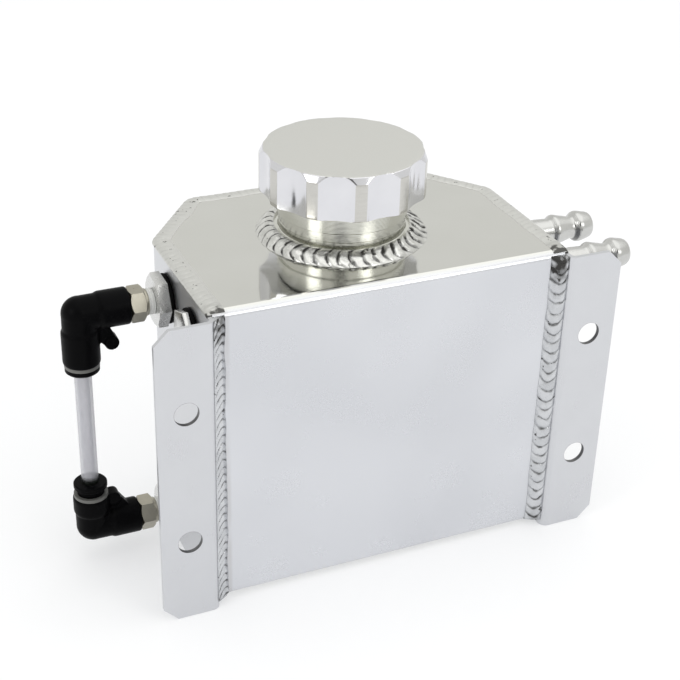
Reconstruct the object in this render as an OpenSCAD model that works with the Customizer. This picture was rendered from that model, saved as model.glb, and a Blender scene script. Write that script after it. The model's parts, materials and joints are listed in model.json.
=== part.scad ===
// Oil catch can: a welded sheet tank with two bolt flanges, a screw cap, a sight level and two hose tails.
// X runs to the right along the mounting face, Y runs back into the tank, Z is up.
// The origin is the middle of the four flange holes, on the front face of the flanges.

/* [Tank] */
// Width over the side walls
tank_w = 130; // [124:1:136]
// Depth of the tank from its front panel to its back
tank_d = 86.8; // [80:0.2:120]
// Height of the folded strip and of the folded channel
tank_h = 112; // [96:1:180]
// Thickness of the sheet
sheet_t = 1.5; // [1:0.1:2]
// Distance from the front panel back to where the side walls turn in
side_d = 57.7; // [56.5:0.1:66]
// Width of the back wall over its bends
back_w = 86; // [60:1:100]
// Radius on the outside of the bends at the back
wall_bend_r = 6; // [5.5:0.1:8]
// Radius on the outside of the front edges of the channel
channel_bend_r = 3; // [2.4:0.1:4]
// How far the front panel sits behind the flange face
panel_inset = 3.8; // [3.6:0.1:5]
// How far the channel stands above the strip
channel_lift = 1.3; // [1:0.1:2]

/* [Flanges] */
// How far a flange reaches out past the side wall
flange_w = 19; // [15:0.5:36]
// Cut across each flange corner
flange_chamfer = 5; // [2:0.5:9]
// Inside radius of the flange bends
flange_bend_in = 1.4; // [1:0.1:1.6]
// Diameter of the bolt holes
bolt_hole_d = 8.4; // [5:0.1:9]
// Bolt holes out from the side wall
bolt_out = 9; // [8.4:0.1:10.4]
// Distance between the holes of one flange
bolt_span_z = 50; // [30:1:70]

/* [Filler] */
// Place of the neck to the right of the middle
neck_x = -1.6; // [-12:0.1:12]
// How far the neck sits in front of the middle of the tank's depth
neck_forward = 1.1; // [-2.8:0.1:3.2]
// Radius of the clear bore of the neck
neck_bore_r = 18.5; // [12:0.1:19]
// Radius of the neck inside the hole of the top plate
neck_spigot_r = 21.5; // [20:0.1:23]
// Radius of the foot that stands on the top plate
neck_foot_r = 24.4; // [24:0.1:26]
// Height of the foot
neck_foot_h = 2.6; // [2:0.1:4]
// Radius of the plain part above the foot
neck_r = 22; // [21.2:0.1:23]
// Height of the foot and the plain part
neck_plain_h = 8.5; // [6:0.1:12]
// Radius of the collar under the cap
neck_collar_r = 22.5; // [22.2:0.1:24]
// Height of the collar
neck_collar_h = 6.5; // [3:0.1:9]
// Radius of the threaded end, over the thread
neck_thread_r = 21; // [20:0.1:21.4]
// Length of the threaded end
neck_thread_l = 11; // [10:0.5:16]
// Outer radius of the cap
cap_r = 28.7; // [26.5:0.1:34]
// Thickness of the roof of the cap
cap_roof_t = 3.65; // [2.5:0.05:6]
// Gap between the collar of the neck and the cap
cap_gap = 0.6; // [0.2:0.1:1]
// Number of scallops
scallop_n = 11; // [6:1:13]
// Radius of a scallop
scallop_r = 16; // [10:0.5:30]
// Depth of a scallop
scallop_depth = 1.6; // [0.8:0.1:2.2]
// Turn of the cap when it is tight
cap_turn = -118; // [-180:1:180]
// Width of the bevel round the top of the cap
cap_bevel_w = 1.2; // [0.6:0.1:2.5]
// Height of that bevel
cap_bevel_h = 2.1; // [1:0.1:2.4]
// Thickness of the seal in the cap
cap_seal_t = 1.2; // [0.8:0.1:2]
// Inner radius of the seal in the cap
cap_seal_in = 17.5; // [12:0.1:18]

/* [Ports] */
// Upper sight port below the top edge of the wall
upper_port_drop = 13.5; // [13:0.1:18]
// Lower sight port above the bottom edge of the wall
lower_port_rise = 13.5; // [12.6:0.1:18]
// Place of the sight ports behind the flange face
port_y = 45.7; // [43.8:0.1:49]
// Place of the spare port behind the flange face
plug_y = 20.4; // [16:0.1:24]
// Spare port below the top edge of the wall
plug_drop = 14; // [13:0.1:24]
// Size across the flats of the adapters and the plug
adapter_af = 16.4; // [15:0.1:17]
// Height of their heads
adapter_head_h = 3.85; // [2.5:0.05:6]
// Turn of the heads of the adapters and the plug
adapter_turn = 28; // [0:1:59]
// Radius of their threaded shanks
adapter_shank_r = 6.4; // [5.5:0.1:7]
// Outer radius of the rubber rings under the heads
port_ring_r = 8.65; // [8:0.05:9.6]
// Space under the heads for the rubber rings
port_ring_t = 1.55; // [1.2:0.05:2.4]
// Radius of the bosses inside the wall
boss_r = 9.7; // [9:0.1:9.7]
// Length of the bosses
boss_l = 5; // [3:0.5:8]

/* [Sight level] */
// Distance from the wall to the middle of the clear tube
tube_off = 30.7; // [28.7:0.1:36]
// Radius of the clear tube
tube_r = 3; // [2.6:0.1:3.1]
// Bore radius of the clear tube
tube_bore_r = 2; // [1.2:0.1:2.1]
// Size across the flats of the elbow studs
stud_af = 11; // [10.5:0.5:14]
// Turn of the hexagons of the studs
stud_turn = 28; // [0:1:59]
// Length of the hexagon of a stud
stud_hex_l = 5.4; // [4:0.1:6]
// Length of taped thread between stud and adapter
tape_l = 3.3; // [2:0.1:5]
// Thickness of the tape
tape_t = 0.35; // [0.2:0.05:0.7]
// Radius of the stud thread
stud_thread_r = 4.1; // [3.8:0.1:4.6]
// Radius of the spigot of a stud in its elbow
stud_spigot_r = 4.35; // [4.1:0.05:4.6]
// Radius of the waterway in the studs
waterway_r = 2.2; // [1.5:0.05:2.4]
// Radius of an elbow round its stud
elbow_sleeve_r = 6.4; // [6.4:0.1:7.2]
// Length of that sleeve
elbow_sleeve_l = 10.2; // [9.4:0.1:10.6]
// Radius of the sleeve on the branch of an elbow
branch_sleeve_r = 6.4; // [6.2:0.1:7]
// Radius of an elbow at its corner
elbow_r = 6; // [5.9:0.1:6.4]
// Length of the upper elbow from its axis to its mouth
upper_branch_l = 18.4; // [17.5:0.1:24]
// Length of the lower elbow from its axis to its mouth
lower_branch_l = 12.6; // [12.4:0.1:18]
// Thickness of the rim of the clip ring
clip_rim_t = 1.2; // [0.5:0.1:1.4]
// Radius of the rim of the clip ring
clip_rim_r = 6; // [5.8:0.1:6.5]
// Radius of the head of the release collet
collet_head_r = 5.9; // [5.4:0.1:6.4]
// Thickness of the head of the release collet
collet_head_t = 1.85; // [0.8:0.05:2.4]
// Travel of a release collet
collet_travel = 2.4; // [0.8:0.1:2.5]
// Radius of the eye cast on each elbow
eye_r = 2.5; // [2.4:0.1:3.2]
// Width of the eye
eye_w = 5; // [3:0.1:6]

/* [Hose tails] */
// Length of the hose tails outside the wall
tail_l = 33.8; // [30:0.1:45]
// Radius of the stem
tail_stem_r = 4.9; // [4.4:0.1:5.2]
// Radius of the ridge in the middle
tail_ridge_r = 5.5; // [5.3:0.1:6]
// Length of the ridge
tail_ridge_l = 3.4; // [2:0.1:5]
// Distance from the end of the hose tail to the ridge
tail_ridge_at = 11.8; // [8:0.1:14]
// Radius of the collar at the end
tail_collar_r = 5.65; // [5.4:0.05:6.2]
// Length of the collar at the end
tail_collar_l = 5.8; // [4:0.1:7]
// Bore radius
tail_bore_r = 3.5; // [2.5:0.1:4]
// Place of the front hose tail behind the flange face
front_tail_y = 19.7; // [16:0.1:26]
// Place of the rear hose tail behind the flange face
rear_tail_y = 44.7; // [40:0.1:50]
// Hose tails below the top edge of the wall
tail_drop = 12; // [10:0.1:20]

/* [Welds] */
// How far the left front bead reaches over the panel
left_bead_w = 4.7; // [3:0.1:7]
// How far the right front bead reaches over the panel
right_bead_w = 6.2; // [3:0.1:7]
// Bulge of the front beads
front_bead_bulge = 0.9; // [0.6:0.1:1.6]
// Length of one ripple of the front beads
front_ripple = 3.9; // [3:0.1:6]
// How far the ripples of the front beads lean
front_ripple_lean = 1.5; // [0:0.1:1.6]
// Width of the bead round the top on the plate and the edge
seam_w = 3.6; // [3:0.1:5]
// How far that bead stands out past the wall
seam_out = 0.6; // [0.3:0.1:1]
// Height of that bead above the plate
seam_bulge = 0.9; // [0.5:0.1:1.5]
// Length of one ripple of that bead
seam_ripple = 4.2; // [3:0.1:6]
// Width of the bead round the bottom
bottom_bead_w = 3.6; // [2:0.1:5]
// Width of the bead round the neck
neck_bead_w = 5.6; // [4:0.1:7]
// Height of the bead round the neck
neck_bead_h = 2.9; // [2.6:0.1:4]
// Bulge of the bead round the neck
neck_bead_bulge = 0.9; // [0.3:0.1:1.4]
// Number of ripples round the neck
neck_ripple_n = 34; // [20:1:40]
// Height of a ripple
ripple_h = 0.4; // [0:0.05:0.5]
// Width of the bead round a hose tail
tail_bead_w = 2.4; // [1.5:0.1:3.5]

/* [Hidden] */
$fn = 64;

// Clearances
seat_gap = 0.05;   // between a piece and the face it is welded or clamped to
slip_gap = 0.1;    // round a piece that is pushed or screwed into another
run_gap = 0.08;    // round a piece that turns or slides
eps = 0.01;        // overrun of a cut past a face
over = 1;          // overrun of a hole through a sheet

// Small details
bend_steps = 8;            // flat steps in a bend
edge_bevel = 0.4;          // bevel on turned edges
shank_out = 0.8;           // shank past its boss
spigot_out = 0.8;          // neck and hose tails past the inside of the sheet
hex_bevel = 0.75;          // corner bevel of a hexagon, along its axis
collet_rest = 0.1;         // gap under the head of a collet that is pushed in
collet_stem_r = 4.7;       // stem of a collet
collet_lip_r = 5.2;        // lip at the end of the stem
collet_lip_l = 0.5;        // length of that lip
clip_body_r = 5.5;         // clip ring inside its elbow
clip_body_l = 1.6;         // how deep it goes
cup_r = 5.6;               // wide part of the tube socket
cup_l = 7.15;              // depth of the wide part
socket_l = 9.6;            // depth of the tube socket
grip_at = 4.8;             // grip ring from the mouth of the elbow
grip_t = 0.4;              // thickness of the grip ring
seal_at = 5.35;            // tube seal from the mouth of the elbow
seal_l = 1.7;              // length of the tube seal
stud_thread_in = 8;        // stud thread inside its adapter
spigot_l = 7.8;            // spigot of a stud
groove_at = 3.2;           // seal groove from the start of the spigot
groove_l = 1.9;            // width of that groove
groove_r = 3.3;            // bottom of that groove
elbow_bore_l = 8.4;        // bore for the spigot
elbow_dome = 5.4;          // rounding of the closed end of an elbow
branch_sleeve_at = 6.2;    // start of the sleeve on the branch
elbow_back = 6;            // closed end of an elbow past its axis
neck_ripple_lean = 2.4;    // how far the ripples round the neck lean, in degrees
bottom_bead_clear = 0.15;  // bottom bead stays this far above the edge of the strip
weld_end = 0.9;            // corner beads end this far from the edges of the channel
weld_joint = 0.1;          // between the corner beads and the top bead

// Places that several pieces share
wall_x = tank_w / 2;
panel_y = panel_inset;
back_y = panel_y + tank_d;
side_y = panel_y + side_d;
neck_y = panel_y + tank_d / 2 - neck_forward;
flange_span = tank_w + 2 * flange_w;
bolt_span_x = tank_w + 2 * bolt_out;
strip_top = tank_h / 2;
strip_bottom = -tank_h / 2;
plate_top = strip_top + channel_lift;
plate_bottom = strip_bottom + channel_lift;
upper_port_z = strip_top - upper_port_drop;
lower_port_z = strip_bottom + lower_port_rise;
plug_z = strip_top - plug_drop;
tail_z = strip_top - tail_drop;
neck_collar_top = neck_plain_h + neck_collar_h;
neck_rim = neck_collar_top + neck_thread_l;
cap_foot = neck_collar_top + cap_gap;
cap_ceiling = neck_rim + cap_seal_t + 2 * seat_gap;
cap_top = cap_ceiling + cap_roof_t;
head_top = port_ring_t + adapter_head_h;
stud_hex_at = head_top + tape_l;
elbow_at = stud_hex_at + stud_hex_l;
clip_face = seat_gap + clip_rim_t;
collet_stem_l = clip_face + grip_at;

// Outlines of folded sheet

function unit(v) = v / norm(v);
function left_of(v) = [-v[1], v[0]];
function turned(v, a) = [v[0] * cos(a) - v[1] * sin(a), v[0] * sin(a) + v[1] * cos(a)];
function angle_to(u, v) = atan2(u[0] * v[1] - u[1] * v[0], u[0] * v[0] + u[1] * v[1]);
function reversed(list) = [for (i = [len(list) - 1:-1:0]) list[i]];

// Points of the line that runs d to the left of a path, round its bend at q
function bend_points(p, q, r, radius, d) =
    let (u = unit(q - p), v = unit(r - q), a = angle_to(u, v), s = sign(a))
    let (centre = q - u * radius * tan(abs(a) / 2) + left_of(u) * s * radius)
    [for (i = [0:bend_steps])
        centre - turned(left_of(u), a * i / bend_steps) * s * (radius - s * d)];

// All points of that line, from one end of the path to the other
function line_beside(path, radii, d) =
    let (last = len(path) - 1)
    let (v = unit(path[1] - path[0]), w = unit(path[last] - path[last - 1]))
    concat(
        [path[0] + left_of(v) * d],
        [for (i = [1:last - 1]) each bend_points(path[i - 1], path[i], path[i + 1], radii[i], d)],
        [path[last] + left_of(w) * d]);

// Section of a sheet whose one face is the path and whose other face lies d to the left of it
module folded_section(path, radii, d) {
    polygon(concat(line_beside(path, radii, 0), reversed(line_beside(path, radii, d))));
}

// The outside of the walls seen from above, from the front left to the front right
function wall_line(front) = [[-wall_x, front], [-wall_x, side_y], [-back_w / 2, back_y],
    [back_w / 2, back_y], [wall_x, side_y], [wall_x, front]];
wall_radii = [0, wall_bend_r, wall_bend_r, wall_bend_r, wall_bend_r, 0];

// The same with the flanges, which carry on from the outside of the walls
strip_line = concat([[-flange_span / 2, sheet_t]], wall_line(sheet_t), [[flange_span / 2, sheet_t]]);
strip_radii = [0, flange_bend_in, wall_bend_r, wall_bend_r, wall_bend_r, wall_bend_r,
    flange_bend_in, 0];

// The outside of the channel seen from the side, as Y and Z
channel_line = [[back_y, plate_top], [panel_y, plate_top],
    [panel_y, plate_bottom], [back_y, plate_bottom]];
channel_radii = [0, channel_bend_r, channel_bend_r, 0];

// Where the front of the channel lies at a height z
function bend_depth(h) = h <= 0 ? 0
    : channel_bend_r - sqrt(max(0, pow(channel_bend_r, 2) - pow(h, 2)));
function panel_face(z) = panel_y
    + bend_depth(z - plate_top + channel_bend_r)
    + bend_depth(plate_bottom + channel_bend_r - z);

// How far the plate stands above the strip at a distance y behind the flange face
function plate_lift(y) = channel_lift - bend_depth(panel_y + channel_bend_r - y);

// Frames on the side walls and in the elbows

// Z points out of the left wall, X points up
module on_left_wall(y, z) {
    translate([-wall_x, y, z]) rotate([0, -90, 0]) children();
}
// Z points out of the right wall
module on_right_wall(y, z) {
    translate([wall_x, y, z]) rotate([0, 90, 0]) children();
}
// Z points out of the mouth of the upper elbow, from its mouth
module at_upper_mouth() {
    translate([-wall_x - tube_off, port_y, upper_port_z - upper_branch_l])
        rotate([180, 0, 0]) children();
}
// Z points out of the mouth of the lower elbow, from its mouth
module at_lower_mouth() {
    translate([-wall_x - tube_off, port_y, lower_port_z + lower_branch_l]) children();
}

// Turned shape with a section of radius and height
module turned_shape(points) {
    rotate_extrude() polygon(points);
}

// Hexagon with bevelled corners at the ends that are asked for
module hexagon(af, h, bevel_bottom, bevel_top) {
    r = af / 2 / cos(30);
    intersection() {
        cylinder(h = h, r = r, $fn = 6);
        turned_shape([[0, -eps], [r + eps - (bevel_bottom ? hex_bevel * 1.5 : 0), -eps],
            [r + eps, bevel_bottom ? hex_bevel : -eps], [r + eps, h - (bevel_top ? hex_bevel : -eps)],
            [r + eps - (bevel_top ? hex_bevel * 1.5 : 0), h + eps], [0, h + eps]]);
    }
}

// Ring with a half round outer edge, from height a to height b
module soft_ring(r_in, r_out, a, b) {
    h = (b - a) / 2;
    turned_shape(concat([[r_in, a]],
        [for (i = [0:6]) [r_out - h + h * cos(-90 + 30 * i), a + h + h * sin(-90 + 30 * i)]],
        [[r_in, b]]));
}

// Beads

// Closed body through a list of rings that each have as many points
module swept_rings(rings, closed = false) {
    m = len(rings[0]);
    count = len(rings);
    sides = [for (i = [0:closed ? count - 1 : count - 2]) for (j = [0:m - 1])
        let (a = i * m, b = ((i + 1) % count) * m, k = (j + 1) % m)
        each [[a + j, b + k, a + k], [a + j, b + j, b + k]]];
    ends = closed ? [] : [[for (j = [0:m - 1]) j],
        [for (j = [m - 1:-1:0]) (count - 1) * m + j]];
    polyhedron([for (r = rings) each r], concat(sides, ends));
}

// Height of the ripples at a place counted in ripples: each is laid over the one before it
function ripple(s) = ripple_h * (1 - pow(s - floor(s + eps), 2));

// Points between a and b on a line that bulges to the left by h
function bulge(a, b, h, n) =
    [for (i = [1:n - 1]) a + (b - a) * i / n + left_of(unit(b - a)) * h * sin(180 * i / n)];

// Section of the bead over the step from the strip up to the plate.
// The first number runs in from the outside of the wall, the second up from the edge of the strip.
function seam_section(lift, rise) =
    let (mid = (seam_w - seam_out) / 2, reach = (seam_w + seam_out) / 2, base = 0.2)
    concat(
        [[-seat_gap, -seam_out]],
        [for (a = [180:-25:55])
            [mid + reach * cos(a), base + (lift + seam_bulge + rise - base) * sin(a)]],
        [[seam_w, lift + seat_gap], [sheet_t, lift + seat_gap],
            [sheet_t, seat_gap], [-seat_gap, seat_gap]]);

// Stations on the outside of the walls: place and outward direction
function wall_stations(front, step) =
    let (line = line_beside(wall_line(front), wall_radii, 0))
    let (inner = line_beside(wall_line(front), wall_radii, -1))
    [for (i = [0:len(line) - 1])
        let (out = line[i] - inner[i], next = line[min(i + 1, len(line) - 1)])
        let (n = max(1, round(norm(next - line[i]) / step)))
        each [for (k = [0:n - 1]) [line[i] + (next - line[i]) * k / n, out]]];

// Distance along the stations
function distances(stations) =
    [for (i = 0, s = 0; i < len(stations);
        s = s + norm(stations[min(i + 1, len(stations) - 1)][0] - stations[i][0]), i = i + 1) s];

// Bead along the walls, with the section at each station
module wall_bead(stations, sections) {
    swept_rings([for (i = [0:len(stations) - 1])
        [for (p = sections[i])
            let (q = stations[i][0] - stations[i][1] * p[0]) [q[0], q[1], p[1]]]]);
}

module top_seam_weld() {
    straight = panel_y + channel_bend_r;
    front = [for (i = [0:5]) straight - channel_bend_r * (1 - i / 6) * 0.7];
    stations = concat(
        [for (y = front) [[-wall_x, y], [-1, 0]]],
        wall_stations(straight, seam_ripple / 2),
        [for (y = reversed(front)) [[wall_x, y], [1, 0]]]);
    s = distances(stations);
    color([0.84, 0.84, 0.82])
        translate([0, 0, strip_top])
            wall_bead(stations, [for (i = [0:len(stations) - 1])
                seam_section(plate_lift(stations[i][0][1]), ripple(s[i] / seam_ripple) - ripple_h)]);
}

// Fillet between the plate and the strip underneath the tank
module bottom_seam_weld() {
    stations = wall_stations(panel_y + channel_bend_r, 6);
    from = sheet_t + seat_gap;
    top = channel_lift - seat_gap;
    section = concat([[from, top], [from + bottom_bead_w, top]],
        bulge([from + bottom_bead_w, top], [from, bottom_bead_clear], 0.2, 3),
        [[from, bottom_bead_clear]]);
    color([0.84, 0.84, 0.82])
        translate([0, 0, strip_bottom])
            wall_bead(stations, [for (st = stations) section]);
}

// Ring of points round a left corner bead at a height z; lean lifts the middle of the ripple
function corner_ring(z, width, rise, lean) =
    let (in_x = -wall_x + sheet_t, r = flange_bend_in + sheet_t, n = 5)
    let (a = [in_x + width, panel_face(z) - seat_gap])
    let (b = [for (t = [0:13:52]) [in_x - r + (r + seat_gap) * cos(t), r - (r + seat_gap) * sin(t)]])
    let (free = bulge(b[4], a, -front_bead_bulge - rise, n))
    concat(
        [[a[0], a[1], z], [in_x + seat_gap, a[1], z]],
        [for (p = b) [p[0], p[1], z]],
        [for (i = [0:n - 2]) [free[i][0], free[i][1], z + lean * sin(180 * (i + 1) / n)]]);

// Bead in the corner between the left flange bend and the front panel
module corner_bead(width, lean) {
    low = plate_bottom + channel_bend_r;
    high = plate_top - channel_bend_r;
    bottom = plate_bottom + weld_end;
    top = strip_top - weld_joint;
    n = round((high - low) / front_ripple * 3);
    heights = concat(
        [for (i = [0:4]) bottom + (low - bottom) * i / 5],
        [for (i = [0:n]) low + (high - low) * i / n],
        [for (i = [1:4]) high + (top - high) * i / 4]);
    last = len(heights) - 1;
    swept_rings([for (i = [0:last])
        let (fade = min(1, i / 5, (last - i) / 4))
        corner_ring(heights[i], width,
            (ripple((heights[i] - bottom) / front_ripple) - ripple_h) * fade, lean * fade)]);
}

module left_corner_weld() {
    color([0.8, 0.8, 0.8]) corner_bead(left_bead_w, front_ripple_lean);
}

module right_corner_weld() {
    color([0.8, 0.8, 0.8]) mirror([1, 0, 0]) corner_bead(right_bead_w, -front_ripple_lean);
}

// Tank

// Cut that takes the corner off a flange
module corner_cut() {
    translate([0, sheet_t + over, 0])
        rotate([90, 0, 0])
            linear_extrude(sheet_t + 2 * over)
                polygon([[-over, -over], [flange_chamfer + over, -over], [-over, flange_chamfer + over]]);
}

module folded_strip() {
    color([0.82, 0.83, 0.85])
    difference() {
        translate([0, 0, strip_bottom])
            linear_extrude(tank_h)
                folded_section(strip_line, strip_radii, -sheet_t);
        for (side = [0, 1]) mirror([side, 0, 0]) {
            translate([-flange_span / 2, 0, strip_bottom]) corner_cut();
            translate([-flange_span / 2, 0, strip_top]) mirror([0, 0, 1]) corner_cut();
            for (z = [-bolt_span_z / 2, bolt_span_z / 2])
                translate([-bolt_span_x / 2, -over, z])
                    rotate([-90, 0, 0]) cylinder(h = sheet_t + 2 * over, d = bolt_hole_d);
        }
        for (p = [[port_y, upper_port_z], [port_y, lower_port_z], [plug_y, plug_z]])
            on_left_wall(p[0], p[1])
                translate([0, 0, -sheet_t - over])
                    cylinder(h = sheet_t + 2 * over, r = adapter_shank_r + slip_gap);
        for (y = [front_tail_y, rear_tail_y])
            on_right_wall(y, tail_z)
                translate([0, 0, -sheet_t - over])
                    cylinder(h = sheet_t + 2 * over, r = tail_stem_r + slip_gap);
    }
}

module folded_channel() {
    color([0.8, 0.8, 0.78])
    difference() {
        intersection() {
            translate([-wall_x, 0, 0])
                rotate([90, 0, 90])
                    linear_extrude(tank_w)
                        folded_section(channel_line, channel_radii, sheet_t);
            translate([0, 0, plate_bottom - over])
                linear_extrude(tank_h + 2 * over)
                    polygon(line_beside(wall_line(0), wall_radii, -sheet_t - seat_gap));
        }
        translate([neck_x, neck_y, plate_top - sheet_t - over])
            cylinder(h = sheet_t + 2 * over, r = neck_spigot_r + slip_gap);
    }
}

// Filler

module on_top_plate() {
    translate([neck_x, neck_y, plate_top]) children();
}

module filler_neck() {
    color([0.85, 0.85, 0.84])
    on_top_plate()
        turned_shape([[neck_bore_r, -sheet_t - spigot_out], [neck_spigot_r, -sheet_t - spigot_out],
            [neck_spigot_r, seat_gap], [neck_foot_r, seat_gap], [neck_foot_r, neck_foot_h],
            [neck_r, neck_foot_h], [neck_r, neck_plain_h],
            [neck_collar_r, neck_plain_h], [neck_collar_r, neck_collar_top],
            [neck_thread_r, neck_collar_top], [neck_thread_r, neck_rim - edge_bevel],
            [neck_thread_r - edge_bevel, neck_rim], [neck_bore_r, neck_rim]]);
}

// Ring of points round the neck bead at a turn a
function neck_ring(a, rise) =
    let (r = neck_foot_r + seat_gap, n = 5)
    let (top = [r, neck_bead_h + rise], edge = [neck_foot_r + neck_bead_w + rise, seat_gap])
    let (free = bulge(top, edge, neck_bead_bulge + rise, n))
    concat(
        [[r * cos(a), r * sin(a), seat_gap], [r * cos(a), r * sin(a), top[1]]],
        [for (i = [0:n - 2]) let (b = a + neck_ripple_lean * sin(180 * (i + 1) / n))
            [free[i][0] * cos(b), free[i][0] * sin(b), free[i][1]]],
        [[edge[0] * cos(a), edge[0] * sin(a), seat_gap]]);

module neck_weld() {
    n = neck_ripple_n * 3;
    color([0.84, 0.84, 0.84])
        on_top_plate()
            swept_rings([for (i = [0:n - 1]) neck_ring(360 * i / n, ripple(i / 3) - ripple_h)], true);
}

module filler_cap() {
    color([0.83, 0.83, 0.82])
    on_top_plate()
        difference() {
            turned_shape([[0, cap_foot], [cap_r - edge_bevel, cap_foot], [cap_r, cap_foot + edge_bevel],
                [cap_r, cap_top - cap_bevel_h], [cap_r - cap_bevel_w, cap_top], [0, cap_top]]);
            translate([0, 0, cap_foot - over])
                cylinder(h = cap_ceiling - cap_foot + over, r = neck_thread_r + run_gap);
            for (i = [0:scallop_n - 1])
                rotate([0, 0, cap_turn + 360 * i / scallop_n])
                    translate([cap_r - scallop_depth + scallop_r, 0, cap_foot - over])
                        cylinder(h = cap_top - cap_foot + 2 * over, r = scallop_r);
        }
}

module cap_seal() {
    color([0.1, 0.1, 0.1])
    on_top_plate()
        turned_shape([[cap_seal_in, neck_rim + seat_gap], [neck_thread_r - slip_gap, neck_rim + seat_gap],
            [neck_thread_r - slip_gap, neck_rim + seat_gap + cap_seal_t],
            [cap_seal_in, neck_rim + seat_gap + cap_seal_t]]);
}

// Ports on the left wall

module at_upper_port() {
    on_left_wall(port_y, upper_port_z) children();
}
module at_lower_port() {
    on_left_wall(port_y, lower_port_z) children();
}
module at_plug() {
    on_left_wall(plug_y, plug_z) children();
}

// Tapped boss inside the wall
module boss() {
    back = sheet_t + seat_gap;
    turned_shape([[adapter_shank_r + slip_gap, -back - boss_l], [boss_r - edge_bevel, -back - boss_l],
        [boss_r, -back - boss_l + edge_bevel], [boss_r, -back], [adapter_shank_r + slip_gap, -back]]);
}

module upper_port_boss() {
    color([0.7, 0.7, 0.7]) at_upper_port() boss();
}
module lower_port_boss() {
    color([0.7, 0.7, 0.7]) at_lower_port() boss();
}
module plug_boss() {
    color([0.7, 0.7, 0.7]) at_plug() boss();
}

// Hexagonal head with its shank
module headed_shank() {
    foot = sheet_t + seat_gap + boss_l + shank_out;
    translate([0, 0, port_ring_t])
        rotate([0, 0, adapter_turn]) hexagon(adapter_af, adapter_head_h, false, true);
    translate([0, 0, -foot]) cylinder(h = foot + port_ring_t + over, r = adapter_shank_r);
}

// Adapter with the thread for its stud
module adapter() {
    difference() {
        headed_shank();
        translate([0, 0, -sheet_t - boss_l - 2 * over])
            cylinder(h = sheet_t + boss_l + head_top + 3 * over, r = stud_thread_r + slip_gap);
    }
}

module upper_adapter() {
    color([0.8, 0.8, 0.8]) at_upper_port() adapter();
}
module lower_adapter() {
    color([0.8, 0.8, 0.8]) at_lower_port() adapter();
}
module blanking_plug() {
    color([0.8, 0.8, 0.8]) at_plug() headed_shank();
}

module port_ring() {
    soft_ring(adapter_shank_r + slip_gap, port_ring_r, seat_gap, port_ring_t - seat_gap);
}
module upper_adapter_ring() {
    color([0.08, 0.08, 0.08]) at_upper_port() port_ring();
}
module lower_adapter_ring() {
    color([0.08, 0.08, 0.08]) at_lower_port() port_ring();
}
module plug_ring() {
    color([0.08, 0.08, 0.08]) at_plug() port_ring();
}

// Sight level

module thread_tape() {
    r = stud_thread_r + seat_gap;
    turned_shape([[r, head_top + seat_gap], [r + tape_t, head_top + seat_gap],
        [r + tape_t, stud_hex_at - seat_gap], [r, stud_hex_at - seat_gap]]);
}
module upper_thread_tape() {
    color([0.95, 0.95, 0.93]) at_upper_port() thread_tape();
}
module lower_thread_tape() {
    color([0.95, 0.95, 0.93]) at_lower_port() thread_tape();
}

// Threaded stud with a hexagon and a grooved spigot for the elbow
module stud() {
    start = head_top - stud_thread_in;
    groove = elbow_at + groove_at;
    difference() {
        union() {
            turned_shape([[0, start], [stud_thread_r - edge_bevel, start],
                [stud_thread_r, start + edge_bevel], [stud_thread_r, stud_hex_at + eps],
                [stud_spigot_r, stud_hex_at + eps], [stud_spigot_r, groove],
                [groove_r, groove], [groove_r, groove + groove_l],
                [stud_spigot_r, groove + groove_l], [stud_spigot_r, elbow_at + spigot_l - edge_bevel],
                [stud_spigot_r - edge_bevel, elbow_at + spigot_l], [0, elbow_at + spigot_l]]);
            translate([0, 0, stud_hex_at])
                rotate([0, 0, stud_turn]) hexagon(stud_af, stud_hex_l, true, true);
        }
        translate([0, 0, start - over])
            cylinder(h = elbow_at + spigot_l - start + 2 * over, r = waterway_r);
    }
}
module upper_stud() {
    color([0.75, 0.72, 0.66]) at_upper_port() stud();
}
module lower_stud() {
    color([0.75, 0.72, 0.66]) at_lower_port() stud();
}

module stud_seal() {
    at = elbow_at + groove_at;
    turned_shape([[groove_r + seat_gap, at + slip_gap], [stud_spigot_r + seat_gap, at + slip_gap],
        [stud_spigot_r + seat_gap, at + groove_l - slip_gap],
        [groove_r + seat_gap, at + groove_l - slip_gap]]);
}
module upper_stud_seal() {
    color([0.1, 0.1, 0.1]) at_upper_port() stud_seal();
}
module lower_stud_seal() {
    color([0.1, 0.1, 0.1]) at_lower_port() stud_seal();
}

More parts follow.
